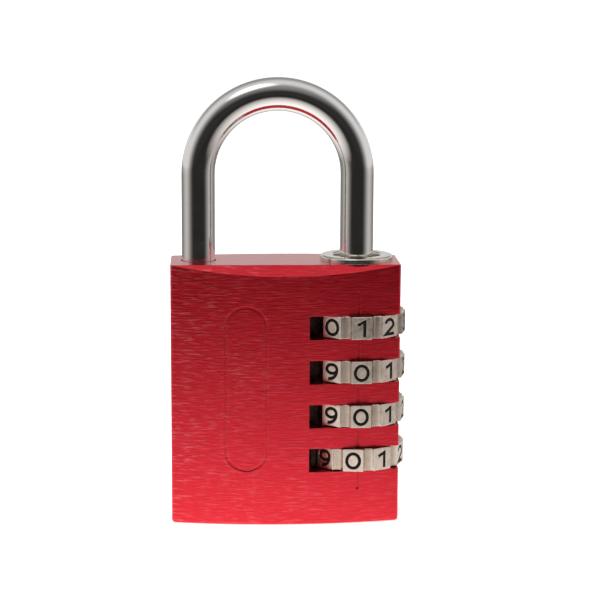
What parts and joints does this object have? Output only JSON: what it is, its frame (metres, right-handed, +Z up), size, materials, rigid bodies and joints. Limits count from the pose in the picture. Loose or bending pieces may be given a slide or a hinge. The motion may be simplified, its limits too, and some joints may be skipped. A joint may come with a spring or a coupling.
{
  "type": "combination padlock",
  "caption": "Resettable combination padlock: bowed red anodised body, chrome shackle, numbered dials around the heel leg, code sleeves and click springs inside.",
  "frame": {"origin": "centre of the flat bottom face of the body, at the middle of its width and depth", "axes": "+Z up along the shackle legs, -Y out of the front face with the index line, +X towards the dials and the heel leg"},
  "size_m": [0.0414, 0.0174, 0.0779],
  "materials": {
    "red_anodised": "brushed, red anodised",
    "shackle_chrome": "polished chrome on steel",
    "bush_nickel": "polished nickel",
    "liner_steel": "turned steel",
    "clip_steel": "stamped steel",
    "washer_brass": "stamped brass",
    "spring_steel": "spring steel",
    "dial_nickel": "satin nickel, engraved digits filled black",
    "sleeve_brass": "turned brass"
  },
  "bodies": {
    "lock_body": {"body": "red_anodised", "heel_bush": "bush_nickel", "guide_liner": "liner_steel", "retaining_clip": "clip_steel", "upper_washer": "washer_brass", "lower_washer": "washer_brass", "stack_spring": "spring_steel", "click_spring_1": "spring_steel", "click_spring_2": "spring_steel", "click_spring_3": "spring_steel", "click_spring_4": "spring_steel"},
    "shackle": {"shackle": "shackle_chrome"},
    "dial_1": {"dial_ring_1": "dial_nickel", "code_sleeve_1": "sleeve_brass"},
    "dial_2": {"dial_ring_2": "dial_nickel", "code_sleeve_2": "sleeve_brass"},
    "dial_3": {"dial_ring_3": "dial_nickel", "code_sleeve_3": "sleeve_brass"},
    "dial_4": {"dial_ring_4": "dial_nickel", "code_sleeve_4": "sleeve_brass"}
  },
  "joints": [
    {"name": "shackle_lift", "type": "slide", "parent": "lock_body", "child": "shackle", "axis": [0, 0, 1], "range_m": [0, 0.007]},
    {"name": "dial_1_turn", "type": "hinge", "parent": "lock_body", "child": "dial_1", "pos_m": [0.01265, 0.0004, 0.0352], "axis": [0, 0, 1], "continuous": true, "deforming": ["click_spring_1"]},
    {"name": "dial_2_turn", "type": "hinge", "parent": "lock_body", "child": "dial_2", "pos_m": [0.01265, 0.0004, 0.02735], "axis": [0, 0, 1], "continuous": true, "deforming": ["click_spring_2"]},
    {"name": "dial_3_turn", "type": "hinge", "parent": "lock_body", "child": "dial_3", "pos_m": [0.01265, 0.0004, 0.0195], "axis": [0, 0, 1], "continuous": true, "deforming": ["click_spring_3"]},
    {"name": "dial_4_turn", "type": "hinge", "parent": "lock_body", "child": "dial_4", "pos_m": [0.01265, 0.0004, 0.01165], "axis": [0, 0, 1], "continuous": true, "deforming": ["click_spring_4"]}
  ]
}
